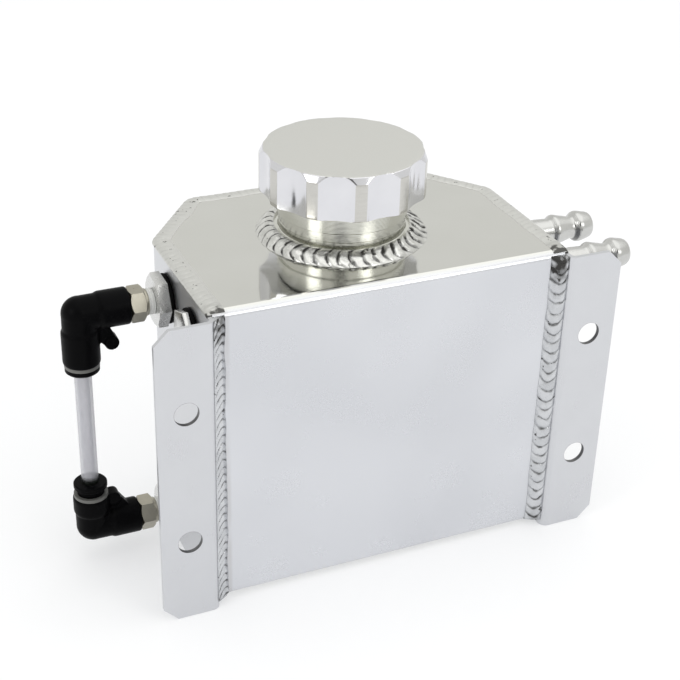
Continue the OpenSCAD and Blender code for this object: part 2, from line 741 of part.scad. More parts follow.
// Elbow with its branch along X and its eye in the corner at a height along the branch
module elbow(branch_l, eye_off, eye_up) {
    start = elbow_at + seat_gap;
    difference() {
        union() {
            turned_shape([[0, start], [elbow_sleeve_r - edge_bevel, start],
                [elbow_sleeve_r, start + edge_bevel],
                [elbow_sleeve_r, start + elbow_sleeve_l - edge_bevel],
                [elbow_sleeve_r - 2 * edge_bevel, start + elbow_sleeve_l + edge_bevel],
                [elbow_sleeve_r - 2 * edge_bevel, tube_off], [0, tube_off]]);
            translate([0, 0, tube_off]) rotate([0, 90, 0])
                turned_shape(concat([[0, -elbow_back]],
                    [for (i = [0:5]) [elbow_r - elbow_dome * (1 - sin(18 * i)),
                        -elbow_back + elbow_dome * (1 - cos(18 * i))]],
                    [[elbow_r, branch_sleeve_at], [branch_sleeve_r, branch_sleeve_at + edge_bevel],
                        [branch_sleeve_r, branch_l - edge_bevel], [branch_sleeve_r - edge_bevel, branch_l],
                        [0, branch_l]]));
            translate([eye_up, eye_w / 2, tube_off - eye_off])
                rotate([90, 0, 0]) cylinder(h = eye_w, r = eye_r);
            translate([0, eye_w / 4, tube_off - eye_off])
                rotate([90, 0, 0])
                    linear_extrude(eye_w / 2)
                        polygon([[0, -1], [eye_up, -1], [eye_up, eye_off], [0, eye_off]]);
        }
        translate([0, 0, start - over])
            cylinder(h = elbow_bore_l + over, r = stud_spigot_r + slip_gap);
        translate([0, 0, start])
            cylinder(h = tube_off - start, r = waterway_r);
        translate([0, 0, tube_off]) rotate([0, 90, 0]) {
            cylinder(h = branch_l + over, r = tube_bore_r);
            translate([0, 0, branch_l - socket_l]) cylinder(h = socket_l + over, r = tube_r + slip_gap);
            translate([0, 0, branch_l - cup_l]) cylinder(h = cup_l + over, r = cup_r);
        }
    }
}
module upper_elbow() {
    color([0.12, 0.12, 0.13])
        at_upper_port() mirror([1, 0, 0]) elbow(upper_branch_l, 10.2, 12.2);
}
module lower_elbow() {
    color([0.12, 0.12, 0.13])
        at_lower_port() elbow(lower_branch_l, 7.6, 10.1);
}

// Ring that keeps the collet in its elbow
module clip_ring() {
    bore = collet_stem_r + run_gap;
    turned_shape([[bore, -clip_body_l], [clip_body_r, -clip_body_l], [clip_body_r, seat_gap],
        [clip_rim_r, seat_gap], [clip_rim_r, clip_face], [bore, clip_face]]);
}
module upper_clip_ring() {
    color([0.6, 0.6, 0.6]) at_upper_mouth() clip_ring();
}
module lower_clip_ring() {
    color([0.6, 0.6, 0.6]) at_lower_mouth() clip_ring();
}

// Steel ring whose teeth hold the tube
module grip_ring() {
    turned_shape([[tube_r + seat_gap, -grip_at - grip_t], [cup_r - slip_gap, -grip_at - grip_t],
        [cup_r - slip_gap, -grip_at], [tube_r + seat_gap, -grip_at]]);
}
module upper_grip_ring() {
    color([0.7, 0.7, 0.7]) at_upper_mouth() grip_ring();
}
module lower_grip_ring() {
    color([0.7, 0.7, 0.7]) at_lower_mouth() grip_ring();
}

module tube_seal() {
    turned_shape([[tube_r + seat_gap, -seal_at - seal_l], [cup_r - slip_gap, -seal_at - seal_l],
        [cup_r - slip_gap, -seal_at], [tube_r + seat_gap, -seal_at]]);
}
module upper_tube_seal() {
    color([0.1, 0.1, 0.1]) at_upper_mouth() tube_seal();
}
module lower_tube_seal() {
    color([0.1, 0.1, 0.1]) at_lower_mouth() tube_seal();
}

// Collet that frees the tube when it is pushed in; out is how far its head stands off the clip ring
module collet(out) {
    bore = tube_r + run_gap;
    face = clip_face + out;
    foot = face - collet_stem_l;
    turned_shape([[bore, foot], [collet_lip_r, foot],
        [collet_lip_r, foot + collet_lip_l], [collet_stem_r, foot + collet_lip_l],
        [collet_stem_r, face], [collet_head_r - edge_bevel / 2, face],
        [collet_head_r, face + edge_bevel / 2], [collet_head_r, face + collet_head_t - edge_bevel],
        [collet_head_r - edge_bevel, face + collet_head_t], [bore, face + collet_head_t]]);
}
module upper_collet() {
    color([0.15, 0.15, 0.16]) at_upper_mouth() collet(collet_rest);
}
module lower_collet() {
    color([0.15, 0.15, 0.16]) at_lower_mouth() collet(collet_rest + collet_travel);
}

module sight_tube() {
    bottom = lower_port_z + lower_branch_l - socket_l + slip_gap;
    top = upper_port_z - upper_branch_l + socket_l - slip_gap;
    color([0.85, 0.88, 0.88, 0.5])
        translate([-wall_x - tube_off, port_y, bottom])
            turned_shape([[tube_bore_r, 0], [tube_r, 0], [tube_r, top - bottom],
                [tube_bore_r, top - bottom]]);
}

// Hose tails on the right wall

module hose_tail() {
    foot = -sheet_t - spigot_out;
    ridge = tail_l - tail_ridge_at - tail_ridge_l;
    collar = tail_l - tail_collar_l;
    turned_shape([[tail_bore_r, foot], [tail_stem_r, foot], [tail_stem_r, ridge],
        [tail_ridge_r, ridge + edge_bevel / 2], [tail_ridge_r, ridge + tail_ridge_l / 2],
        [tail_stem_r, ridge + tail_ridge_l], [tail_stem_r, collar],
        [tail_collar_r, collar], [tail_collar_r, tail_l - edge_bevel],
        [tail_collar_r - edge_bevel, tail_l], [tail_bore_r, tail_l]]);
}
module front_hose_tail() {
    color([0.82, 0.82, 0.8]) on_right_wall(front_tail_y, tail_z) hose_tail();
}
module rear_hose_tail() {
    color([0.82, 0.82, 0.8]) on_right_wall(rear_tail_y, tail_z) hose_tail();
}

module tail_weld() {
    r = tail_stem_r + seat_gap;
    rise = tail_bead_w * 0.7;
    turned_shape([[r, seat_gap], [r + tail_bead_w, seat_gap], [r + tail_bead_w * 0.85, rise * 0.45],
        [r + tail_bead_w * 0.45, rise * 0.9], [r, rise]]);
}
module front_tail_weld() {
    color([0.84, 0.84, 0.82]) on_right_wall(front_tail_y, tail_z) tail_weld();
}
module rear_tail_weld() {
    color([0.84, 0.84, 0.82]) on_right_wall(rear_tail_y, tail_z) tail_weld();
}

folded_channel();
folded_strip();
top_seam_weld();
bottom_seam_weld();
left_corner_weld();
right_corner_weld();
filler_neck();
neck_weld();
filler_cap();
cap_seal();
upper_port_boss();
lower_port_boss();
plug_boss();
upper_adapter();
lower_adapter();
blanking_plug();
upper_adapter_ring();
lower_adapter_ring();
plug_ring();
upper_thread_tape();
lower_thread_tape();
upper_stud();
lower_stud();
upper_stud_seal();
lower_stud_seal();
upper_elbow();
lower_elbow();
upper_clip_ring();
lower_clip_ring();
upper_grip_ring();
lower_grip_ring();
upper_tube_seal();
lower_tube_seal();
upper_collet();
lower_collet();
sight_tube();
front_hose_tail();
rear_hose_tail();
front_tail_weld();
rear_tail_weld();
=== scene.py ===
import json
import math

import bmesh
import bpy
from mathutils import Matrix, Vector, geometry, noise


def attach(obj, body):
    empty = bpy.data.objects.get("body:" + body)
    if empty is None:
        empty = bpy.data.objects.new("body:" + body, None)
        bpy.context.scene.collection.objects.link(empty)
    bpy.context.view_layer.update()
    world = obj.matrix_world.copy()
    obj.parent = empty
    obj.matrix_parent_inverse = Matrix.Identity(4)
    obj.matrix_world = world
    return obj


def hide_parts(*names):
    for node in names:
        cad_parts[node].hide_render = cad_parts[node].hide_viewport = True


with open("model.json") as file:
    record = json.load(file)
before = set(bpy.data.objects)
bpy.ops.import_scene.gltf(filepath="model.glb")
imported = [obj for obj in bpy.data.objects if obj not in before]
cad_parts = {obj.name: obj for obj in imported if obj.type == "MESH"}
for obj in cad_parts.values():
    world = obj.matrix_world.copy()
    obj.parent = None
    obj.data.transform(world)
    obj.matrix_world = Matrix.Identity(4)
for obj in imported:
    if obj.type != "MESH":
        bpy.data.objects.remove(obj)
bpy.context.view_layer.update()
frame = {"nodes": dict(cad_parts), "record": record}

MM = 0.001
FULL_TURN = 2 * math.pi
SAME_PLACE = 0.0005    # millimetres; points closer than this are one

# Sizes of the part, in millimetres, as the frame has them
WALL_X = 65.0          # outside of the side walls
SHEET = 1.5
PANEL_Y = 3.8          # front of the channel
SIDE_END_Y = 61.5      # where the side walls turn in
BACK_Y = 90.6
BACK_HALF = 43.0
WALL_BEND = 6.0
CHANNEL_BEND = 3.0
FLANGE_BEND = 2.9      # rounded side of the flange bends
STRIP_TOP, STRIP_BOTTOM = 56.0, -56.0
PLATE_TOP, PLATE_BOTTOM = 57.3, -54.7
NECK = (-1.6, 46.1)
PORT_Y, PLUG_Y = 45.7, 20.4
UPPER_PORT_Z, LOWER_PORT_Z, PLUG_Z = 42.5, -42.5, 42.0
TUBE_OUT = 30.7        # tube axis, out from the wall
TAIL_Z = 44.0
TAIL_YS = (19.7, 44.7)
HOLE_X, HOLE_Z = 74.0, 25.0

# Sizes of the finer forms, in millimetres
THREAD_PITCH = 3.0
SEAM_WIDTH = 5.7       # bead round the top plate
NECK_BEAD_R = 29.75    # where the neck's bead meets the plate
ELBOW_CORE_R = 5.9     # ball in which the barrels of an elbow meet
PLUG_FLATS = 15.6      # across the flats of the plug's head


# Shader expressions

class Signal:
    """What a socket gives; arithmetic on it adds Math nodes."""

    def __init__(self, paint, socket):
        self.paint = paint
        self.socket = socket

    def maths(self, operation, *values):
        return self.paint.node("ShaderNodeMath", {"operation": operation}, dict(enumerate(values)))

    def __add__(self, other):
        return self.maths("ADD", self, other)

    def __radd__(self, other):
        return self.maths("ADD", other, self)

    def __sub__(self, other):
        return self.maths("SUBTRACT", self, other)

    def __rsub__(self, other):
        return self.maths("SUBTRACT", other, self)

    def __mul__(self, other):
        return self.maths("MULTIPLY", self, other)

    def __rmul__(self, other):
        return self.maths("MULTIPLY", other, self)

    def __truediv__(self, other):
        return self.maths("DIVIDE", self, other)

    def __rtruediv__(self, other):
        return self.maths("DIVIDE", other, self)

    def __pow__(self, other):
        return self.maths("POWER", self, other)

    def __neg__(self):
        return self.maths("MULTIPLY", self, -1.0)

    def sine(self):
        return self.maths("SINE", self)

    def between(self, low, high):
        """0 below low, 1 above high, smooth in between."""
        return self.paint.node(
            "ShaderNodeMapRange", {"interpolation_type": "SMOOTHSTEP"},
            {"Value": self, "From Min": low, "From Max": high})


class Paint:
    """A node tree written as expressions."""

    def __init__(self, tree):
        self.tree = tree
        tree.nodes.clear()

    def node(self, kind, settings=None, inputs=None, output=0):
        made = self.tree.nodes.new(kind)
        for name, value in (settings or {}).items():
            setattr(made, name, value)
        for name, value in (inputs or {}).items():
            if isinstance(value, Signal):
                self.tree.links.new(value.socket, made.inputs[name])
            else:
                made.inputs[name].default_value = value
        return Signal(self, made.outputs[output]) if made.outputs else None

    def place(self):
        return self.node("ShaderNodeTexCoord", output="Object")

    def axis(self, vector, name):
        return self.node("ShaderNodeSeparateXYZ", None, {0: vector}, name)

    def stretched(self, scale):
        """Object place in millimetres, stretched by a scale for each axis."""
        return self.node("ShaderNodeMapping", None,
                         {"Vector": self.place(), "Scale": [1000 * s for s in scale]})

    def clouds(self, scale, detail=3.0, roughness=0.55):
        return self.node("ShaderNodeTexNoise", None,
                         {"Vector": self.stretched(scale), "Scale": 1.0, "Detail": detail,
                          "Roughness": roughness}, "Fac")

    def mix(self, factor, first, second):
        colours = [c if isinstance(c, Signal) else (*c, 1) for c in (first, second)]
        return self.node("ShaderNodeMix", {"data_type": "RGBA"},
                         {0: factor, 6: colours[0], 7: colours[1]}, 2)

    def own(self, name):
        """An attribute of the piece."""
        return self.node("ShaderNodeAttribute", {"attribute_name": name}, None, "Fac")


def finish_of(name, describe):
    """A material whose shader sockets are what describe(paint) returns."""
    material = bpy.data.materials.new(name)
    material.use_nodes = True
    paint = Paint(material.node_tree)
    sockets = describe(paint)
    relief = sockets.pop("relief", None)
    depth = sockets.pop("depth", 0.0001)
    if relief is not None:
        sockets["Normal"] = paint.node("ShaderNodeBump", None,
                                       {"Height": relief, "Distance": depth, "Strength": 1.0})
    shader = paint.node("ShaderNodeBsdfPrincipled", None, {
        key: (*value, 1) if isinstance(value, tuple) and len(value) == 3 else value
        for key, value in sockets.items()})
    paint.node("ShaderNodeOutputMaterial", None, {"Surface": shader})
    return material


# Materials

def polished_sheet(paint):
    """Channel: mirror bright on the top plate, duller on the front; its warmer tone on the top and
    cooler tone on the front are painted reflection.
    """
    x, y = paint.axis(paint.place(), "X"), paint.axis(paint.place(), "Y")
    front = 1 - y.between(0.0042, 0.006)    # 0 once the bend has turned to the top
    haze = paint.clouds((0.05, 0.05, 0.05))
    grain = paint.clouds((0.9, 0.12, 0.9), 5.0, 0.7)
    # painted reflection: the top plate gets a warmer tone and the front a cooler one
    warm = paint.mix(haze, (0.635, 0.635, 0.60), (0.68, 0.68, 0.65))
    cool = paint.mix(paint.clouds((0.02, 0.02, 0.016), 1.5).between(0.3, 0.7),
                     (0.62, 0.63, 0.66), (0.675, 0.685, 0.715))
    # a darker band in cloudy patches on the front, beside the left corner bead
    darker_band_by_left_bead = (1 - x.between(-0.0589, -0.0576)) * paint.clouds((0.1, 0.1, 0.04)).between(0.35, 0.6)
    base = paint.mix(front * darker_band_by_left_bead * 0.3, paint.mix(front, warm, cool), (0.40, 0.38, 0.36))
    return {"Base Color": base, "Metallic": 1.0,
            "Roughness": 0.045 + front * 0.2 + haze * 0.04 + grain * 0.03,
            "relief": paint.clouds((0.035, 0.035, 0.035), 1.0) + grain * 0.004, "depth": 0.0004}


def satin_sheet(paint):
    """Walls and flanges: rolled sheet, lightly scuffed, with painted shade in the bores of the
    flange holes.
    """
    haze = paint.clouds((0.06, 0.06, 0.06))
    grain = paint.clouds((1.4, 1.4, 0.08), 5.0, 0.7)
    scuffs = paint.clouds((0.5, 0.5, 0.5), 6.0, 0.75).between(0.6, 0.75)
    base = paint.mix(haze, (0.60, 0.605, 0.63), (0.65, 0.66, 0.68))
    x, z = paint.axis(paint.place(), "X"), paint.axis(paint.place(), "Z")
    across, down = x.maths("ABSOLUTE", x) - HOLE_X * MM, z.maths("ABSOLUTE", z) - HOLE_Z * MM
    # painted shade: the bores of the flange holes are coloured near black
    shaded_bore = 1 - ((across * across + down * down) ** 0.5).between(0.00422, 0.00430)
    base = paint.mix(shaded_bore * 0.85, base, (0.10, 0.10, 0.10))
    return {"Base Color": paint.mix(scuffs * 0.2, base, (0.45, 0.45, 0.46)), "Metallic": 1.0,
            "Roughness": 0.22 + haze * 0.08 + grain * 0.06 + scuffs * 0.06 + shaded_bore * 0.2,
            "relief": grain * 0.08 + haze, "depth": 0.00012}


def weld_metal(paint):
    """Rippled bead: the tone of the sheet, with painted shade along each valley that goes black
    where deepest, and burnt pits; warmer round the neck and cooler elsewhere as painted reflection.
    """
    valley = paint.own("valley")
    speckle = paint.clouds((0.9, 0.9, 0.9), 6.0, 0.7)
    patches = paint.clouds((0.2, 0.2, 0.2), 3.0, 0.6)
    spots = paint.clouds((0.42, 0.42, 0.42), 2.0, 0.5)
    pits = (spots + valley * 0.1).between(0.69, 0.74)
    # the deepest painted valley shade, together with the burn the bead carries, goes black
    burnt = (valley + speckle * 0.9).between(1.4, 1.65)
    round_neck = paint.axis(paint.place(), "Z").between(0.0571, 0.0574)
    patch = patches.between(0.35, 0.65)
    # painted reflection: the neck bead gets the warmer tone, the other beads the cooler one
    cool = paint.mix(patch, (0.52, 0.53, 0.55), (0.61, 0.62, 0.64))
    warm = paint.mix(patch, (0.58, 0.58, 0.555), (0.74, 0.74, 0.715))
    bright = paint.mix(round_neck, cool, warm)
    # painted shade: each ripple valley is darkened
    valley_shaded_tone = paint.mix(valley.between(0.12, 0.95) * 0.8, bright, (0.11, 0.11, 0.11))
    black = pits + burnt * (1 - pits)
    return {"Base Color": paint.mix(black * 0.85, valley_shaded_tone, (0.04, 0.038, 0.035)), "Metallic": 1.0,
            "Roughness": 0.2 + speckle * 0.12 + black * 0.35,
            "relief": speckle * 0.6 + black, "depth": 0.0001}


def seam_metal(paint):
    """Low bead round the top plate: lighter than the plate, finely rippled with painted shade along
    the valleys, a few pits.
    """
    valley = paint.own("valley")
    speckle = paint.clouds((0.8, 0.8, 0.8), 5.0, 0.65)
    spots = paint.clouds((0.6, 0.6, 0.6), 2.0, 0.5)
    pits = spots.between(0.695, 0.72)
    burnt = (valley + speckle * 0.9).between(1.1, 1.5)
    light = paint.mix(speckle, (0.61, 0.61, 0.585), (0.69, 0.69, 0.665))
    # painted shade along the ripple valleys
    seam_valley_shaded = paint.mix(valley.between(0.05, 0.35) * 0.3, light, (0.36, 0.36, 0.34))
    black = pits + burnt * (1 - pits)
    return {"Base Color": paint.mix(black * 0.85, seam_valley_shaded, (0.05, 0.048, 0.045)), "Metallic": 1.0,
            "Roughness": 0.34 + speckle * 0.1 + black * 0.3, "relief": speckle, "depth": 0.00005}


def turned_metal(paint):
    """Neck: fine turning marks."""
    rings = (paint.axis(paint.place(), "Z") * 14000.0).sine()
    haze = paint.clouds((0.1, 0.1, 0.4), 4.0, 0.6)
    return {"Base Color": paint.mix(haze, (0.60, 0.60, 0.55), (0.70, 0.70, 0.65)), "Metallic": 1.0,
            "Roughness": 0.1 + haze * 0.1, "relief": rings * 0.5 + haze, "depth": 0.00002}


def turned_across(paint):
    """Hose tails: turning marks round their own axis, with painted shade on faces that turn towards
    the wall and not upwards.
    """
    rings = (paint.axis(paint.place(), "X") * 14000.0).sine()
    haze = paint.clouds((0.12, 0.12, 0.12), 3.0, 0.6)
    facing = paint.node("ShaderNodeNewGeometry", output="Normal")
    # painted shade: faces turned towards the wall and not upwards are darkened
    shoulder_painted_shade = (1 - paint.axis(facing, "X").between(-0.62, -0.4)) * (
        1 - paint.axis(facing, "Z").between(0.0, 0.45))
    bright = paint.mix(haze, (0.50, 0.50, 0.49), (0.62, 0.62, 0.605))
    return {"Base Color": paint.mix(shoulder_painted_shade * 0.75, bright, (0.12, 0.12, 0.12)), "Metallic": 1.0,
            "Roughness": 0.15 + haze * 0.1, "relief": rings * 0.5 + haze, "depth": 0.00002}


def cap_metal(paint):
    """Cap: blasted top face, milled bright flutes, turned lands between them; the lighter, bluer
    tone of the flutes and the darker, warmer tone of the lands are painted reflection.
    """
    place = paint.place()
    up = paint.axis(paint.node("ShaderNodeNewGeometry", output="Normal"), "Z").between(0.93, 0.985)
    outside = paint.axis(place, "Z").between(0.0855, 0.086)    # above the ceiling inside
    top = up * outside
    x, y = paint.axis(place, "X") - NECK[0] * MM, paint.axis(place, "Y") - NECK[1] * MM
    land = ((x * x + y * y) ** 0.5).between(0.02853, 0.02864)
    grain = paint.clouds((3.0, 3.0, 3.0), 5.0, 0.7)
    haze = paint.clouds((0.1, 0.1, 0.1), 3.0, 0.6)
    streaks = paint.clouds((0.3, 0.3, 4.0), 3.0, 0.6)
    # painted reflection: the flutes are coloured lighter and bluer, the lands darker and warmer
    flutes = paint.mix(haze, (0.66, 0.66, 0.69), (0.74, 0.74, 0.765))
    lands = paint.mix(streaks, (0.50, 0.49, 0.465), (0.64, 0.63, 0.60))
    face = paint.mix(grain, (0.59, 0.59, 0.565), (0.65, 0.65, 0.625))
    sides = paint.mix(land, flutes, lands)
    return {"Base Color": paint.mix(top, sides, face), "Metallic": 1.0,
            "Roughness": 0.09 + haze * 0.06 + land * 0.1 + top * (0.42 + grain * 0.1),
            "relief": grain * top * 0.6 + haze * 0.5, "depth": 0.00006}


def machined_fitting(paint):
    """Adapters, bosses and plug: machined, a few nicks."""
    haze = paint.clouds((0.2, 0.2, 0.2), 4.0, 0.65)
    nicks = paint.clouds((0.6, 0.6, 0.6), 6.0, 0.8).between(0.6, 0.7)
    base = paint.mix(haze, (0.60, 0.60, 0.59), (0.74, 0.74, 0.73))
    return {"Base Color": paint.mix(nicks * 0.35, base, (0.33, 0.33, 0.33)), "Metallic": 1.0,
            "Roughness": 0.2 + haze * 0.15, "relief": haze, "depth": 0.0001}


def nickel(paint):
    """Studs: nickel plate over brass, warm grey."""
    haze = paint.clouds((0.2, 0.25, 0.25), 4.0, 0.6)
    base = paint.mix(haze, (0.33, 0.312, 0.258), (0.445, 0.423, 0.355))
    return {"Base Color": base, "Metallic": 1.0, "Roughness": 0.24 + haze * 0.12,
            "relief": haze, "depth": 0.0001}


def black_moulding(paint):
    grain = paint.clouds((1.5, 1.5, 1.5), 4.0, 0.6)
    haze = paint.clouds((0.08, 0.08, 0.08))
    return {"Base Color": paint.mix(haze, (0.001, 0.001, 0.0013), (0.002, 0.002, 0.0025)),
            "Metallic": 0.0, "Specular IOR Level": 0.045,
            "Roughness": 0.32 + haze * 0.12 + grain * 0.04, "relief": grain, "depth": 0.00003}


def grey_moulding(paint):
    haze = paint.clouds((0.4, 0.4, 0.4), 4.0, 0.6)
    return {"Base Color": paint.mix(haze, (0.10, 0.10, 0.095), (0.16, 0.16, 0.15)), "Metallic": 0.0,
            "Roughness": 0.4 + haze * 0.1, "relief": haze, "depth": 0.00003}


def black_rubber(paint):
    grain = paint.clouds((2.0, 2.0, 2.0), 4.0, 0.7)
    return {"Base Color": paint.mix(grain, (0.0015, 0.0015, 0.0015), (0.003, 0.003, 0.003)),
            "Metallic": 0.0, "Specular IOR Level": 0.04, "Roughness": 0.5 + grain * 0.2,
            "relief": grain, "depth": 0.00008}


def white_tape(paint):
    folds_with_painted_shade = paint.clouds((1.2, 0.3, 0.3), 5.0, 0.7)
    # painted shade: the tape is greyer where its folds sink
    return {"Base Color": paint.mix(folds_with_painted_shade, (0.58, 0.59, 0.58), (0.80, 0.80, 0.78)),
            "Metallic": 0.0, "Roughness": 0.5 + folds_with_painted_shade * 0.2, "relief": folds_with_painted_shade, "depth": 0.00025}


def spring_steel(paint):
    haze = paint.clouds((0.5, 0.5, 0.5), 4.0, 0.6)
    return {"Base Color": paint.mix(haze, (0.45, 0.45, 0.45), (0.6, 0.6, 0.6)), "Metallic": 1.0,
            "Roughness": 0.25 + haze * 0.1, "relief": haze, "depth": 0.00003}


def clear_tube(paint):
    """Slightly milky tube, denser towards its edges, coloured near black low down as painted
    refraction of the dark collet inside it.
    """
    edge = paint.node("ShaderNodeLayerWeight", None, {"Blend": 0.35}, "Facing")
    haze = paint.clouds((0.25, 0.25, 0.08), 3.0, 0.6)
    # painted refraction: low down the tube is coloured near black, standing in for the collet seen
    # through it
    clear = paint.axis(paint.place(), "Z").between(-0.0235, -0.0205)    # 0 low down
    milky = paint.mix(haze, (0.52, 0.52, 0.57), (0.64, 0.64, 0.68))
    return {"Base Color": paint.mix(clear, (0.03, 0.035, 0.03), milky),
            "Metallic": 0.0, "Roughness": 0.08 + haze * 0.08,
            "Alpha": (0.1 + clear * 0.22) + edge * 0.4 + haze * 0.1,
            "relief": haze, "depth": 0.00005}


FINISHES = {
    "sheet_aluminium": finish_of("satin_sheet", satin_sheet),
    "weld_aluminium": finish_of("weld_metal", weld_metal),
    "turned_aluminium": finish_of("turned_across", turned_across),
    "fitting_aluminium": finish_of("machined_fitting", machined_fitting),
    "nickel_plate": finish_of("nickel", nickel),
    "black_rubber": finish_of("black_rubber", black_rubber),
    "thread_tape": finish_of("white_tape", white_tape),
    "black_plastic": finish_of("black_moulding", black_moulding),
    "grey_plastic": finish_of("grey_moulding", grey_moulding),
    "steel": finish_of("spring_steel", spring_steel),
    "clear_plastic": finish_of("clear_tube", clear_tube),
}
NODE_FINISHES = {
    "folded_channel": finish_of("polished_sheet", polished_sheet),
    "top_seam_weld": finish_of("seam_metal", seam_metal),
    "filler_neck": finish_of("turned_metal", turned_metal),
    "filler_cap": finish_of("cap_metal", cap_metal),
}
SLOTS = {part["node"]: part["material_slot"] for part in frame["record"]["subparts"]}

for node_name, node in frame["nodes"].items():
    finish = NODE_FINISHES.get(node_name, FINISHES[SLOTS[node_name]])
    for material_slot in node.material_slots:
        material_slot.material = finish


# Shapes

def piece(name, bm, body, *nodes, slot=None):
    """Makes an object of a mesh in millimetres, in place of CAD nodes, with their finish."""
    slot = slot or SLOTS[nodes[0]]
    bmesh.ops.remove_doubles(bm, verts=bm.verts, dist=SAME_PLACE)
    bmesh.ops.delete(bm, geom=[edge for edge in bm.edges if edge.is_wire], context="EDGES")
    bmesh.ops.scale(bm, vec=(MM, MM, MM), verts=bm.verts)
    bmesh.ops.recalc_face_normals(bm, faces=bm.faces)
    mesh = bpy.data.meshes.new(name)
    bm.to_mesh(mesh)
    bm.free()
    for face in mesh.polygons:
        face.use_smooth = True
    mesh.set_sharp_from_angle(angle=math.radians(32))
    mesh.materials.append(NODE_FINISHES.get((nodes or [None])[0], FINISHES[slot]))
    made = bpy.data.objects.new(name, mesh)
    bpy.context.collection.objects.link(made)
    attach(made, body)
    if nodes:
        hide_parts(*nodes)


def loft(rows, columns, place):
    """A grid of rows by columns whose points place(row, column) puts in millimetres.

    place returns a point, or a point and how deep it lies in a valley of a bead.
    """
    bm = bmesh.new()
    valley = bm.verts.layers.float.new("valley")
    grid = bmesh.ops.create_grid(bm, x_segments=rows, y_segments=columns, size=0.5)
    for vert in grid["verts"]:
        row = round((vert.co.x + 0.5) * rows)
        column = round((vert.co.y + 0.5) * columns)
        point = place(row, column)
        if isinstance(point, tuple):
            point, vert[valley] = point
        vert.co = point
    return bm


def wander(*values):
    """Small fixed unevenness, from -1 to 1, for one to three values."""
    return noise.noise(Vector((*values, 0.37, 0.71, 0.13)[:3]))


def ripple_shape(along):
    """Height from 0 to 1 of a scale of weld, and how near its valley is."""
    share = along - math.floor(along)
    rise = 1 - (1 - min(share / 0.3, 1.0)) ** 2
    fall = 1 - 0.7 * max(0.0, (share - 0.3) / 0.7) ** 1.6
    return rise * fall, max(0.0, 1 - share / 0.36, 1 - (1 - share) / 0.18)


def section_through(start, pull, push, end, steps, back):
    """A bead section: (point, outward, across) along a free curve, then its hidden back.

    across runs from 0 to 1 over the free curve and is None on the back.
    """
    curve = geometry.interpolate_bezier(*[Vector((*p, 0)) for p in (start, pull, push, end)],
                                        steps + 1)
    curve = [p.xy for p in curve]
    free = []
    for i, point in enumerate(curve):
        run = curve[min(i + 1, steps)] - curve[max(i - 1, 0)]
        free.append((point, Vector((-run.y, run.x)).normalized(), i / steps))
    return free + [(Vector(p), Vector((0, 0)), None) for p in back]


def rippled(section, along, ripple, lean, seed, shade=1.0, burn=0.0, skew=0.0):
    """(point, valley) of a bead section raised into scales that curve across it.

    ripple is the height of a scale, lean how far its middle runs ahead of its edges, shade
    how dark its valley is, burn how dark all of it is and skew how far it slants.
    """
    points = []
    for point, outward, across in section:
        if across is None:
            points.append((Vector(point), 0.0))
            continue
        bow = 1 - (2 * across - 1) ** 2
        place = (along + lean * bow + skew * across + 0.22 * wander(along * 0.7, across * 2, seed)
                 + 0.07 * wander(along * 3.1, across * 7, seed + 3))
        height, valley = ripple_shape(place)
        height += 0.4 * wander(math.floor(place) * 1.7, across * 3, seed + 5)
        fade = min(1.0, 5 * across, 5 * (1 - across))
        # the second value is painted shade along the valley between scales, plus the burn
        points.append((Vector(point) + Vector(outward) * (ripple * (height - 0.7) * fade),
                       shade * valley * (0.5 + 0.5 * fade)
                       * (0.85 + 0.65 * wander(along * 0.9, across * 3, seed + 7))
                       + burn * (1 + wander(along * 1.9, across * 4, seed + 9))))
    return points


def bead(stations, closed, sections, frames):
    """Bead through stations; sections(i) gives its points and frames(i) puts them in space."""
    rings = [[(frames(i, p), v) for p, v in sections(i)] for i in range(stations)]
    count = len(rings[0])
    rings.append(rings[0])
    bm = loft(stations if closed else stations - 1, count, lambda r, c: rings[r][c % count])
    if not closed:
        bmesh.ops.remove_doubles(bm, verts=bm.verts, dist=SAME_PLACE)
        rims = [edge for edge in bm.edges if edge.is_boundary]
        ends = bmesh.ops.holes_fill(bm, edges=rims, sides=0)["faces"]
        bmesh.ops.poke(bm, faces=ends)
    return bm


def in_order(bm):
    """Sorts points, edges and faces by place, so that each run gives the same mesh."""
    def middle(element):
        points = getattr(element, "verts", [element])
        centre = sum((point.co for point in points), Vector()) / len(points)
        return [round(value, 4) for value in centre]

    for elements in (bm.verts, bm.edges, bm.faces):
        for rank, element in enumerate(sorted(elements, key=middle)):
            element.index = rank
        elements.sort()


def turned(bm, outline, where, steps=64):
    """Adds an outline of (radius, height) spun about Z and put where a matrix says.

    An outline that starts on the axis ends there too; any other one is closed into a ring.
    """
    corners = [bm.verts.new((r, 0, h)) for r, h in outline]
    after = corners[1:] if outline[0][0] == 0 else corners[1:] + corners[:1]
    edges = [bm.edges.new(pair) for pair in zip(corners, after)]
    bmesh.ops.spin(bm, geom=corners + edges, axis=(0, 0, 1), cent=(0, 0, 0), angle=FULL_TURN,
                   steps=steps, use_merge=True)
    started = {v for v in corners if v.is_valid}
    fresh = [v for v in bm.verts if v in started or not v.tag]
    bmesh.ops.transform(bm, matrix=where, verts=fresh)
    bmesh.ops.remove_doubles(bm, verts=fresh, dist=SAME_PLACE)
    for v in bm.verts:
        v.tag = True
    in_order(bm)


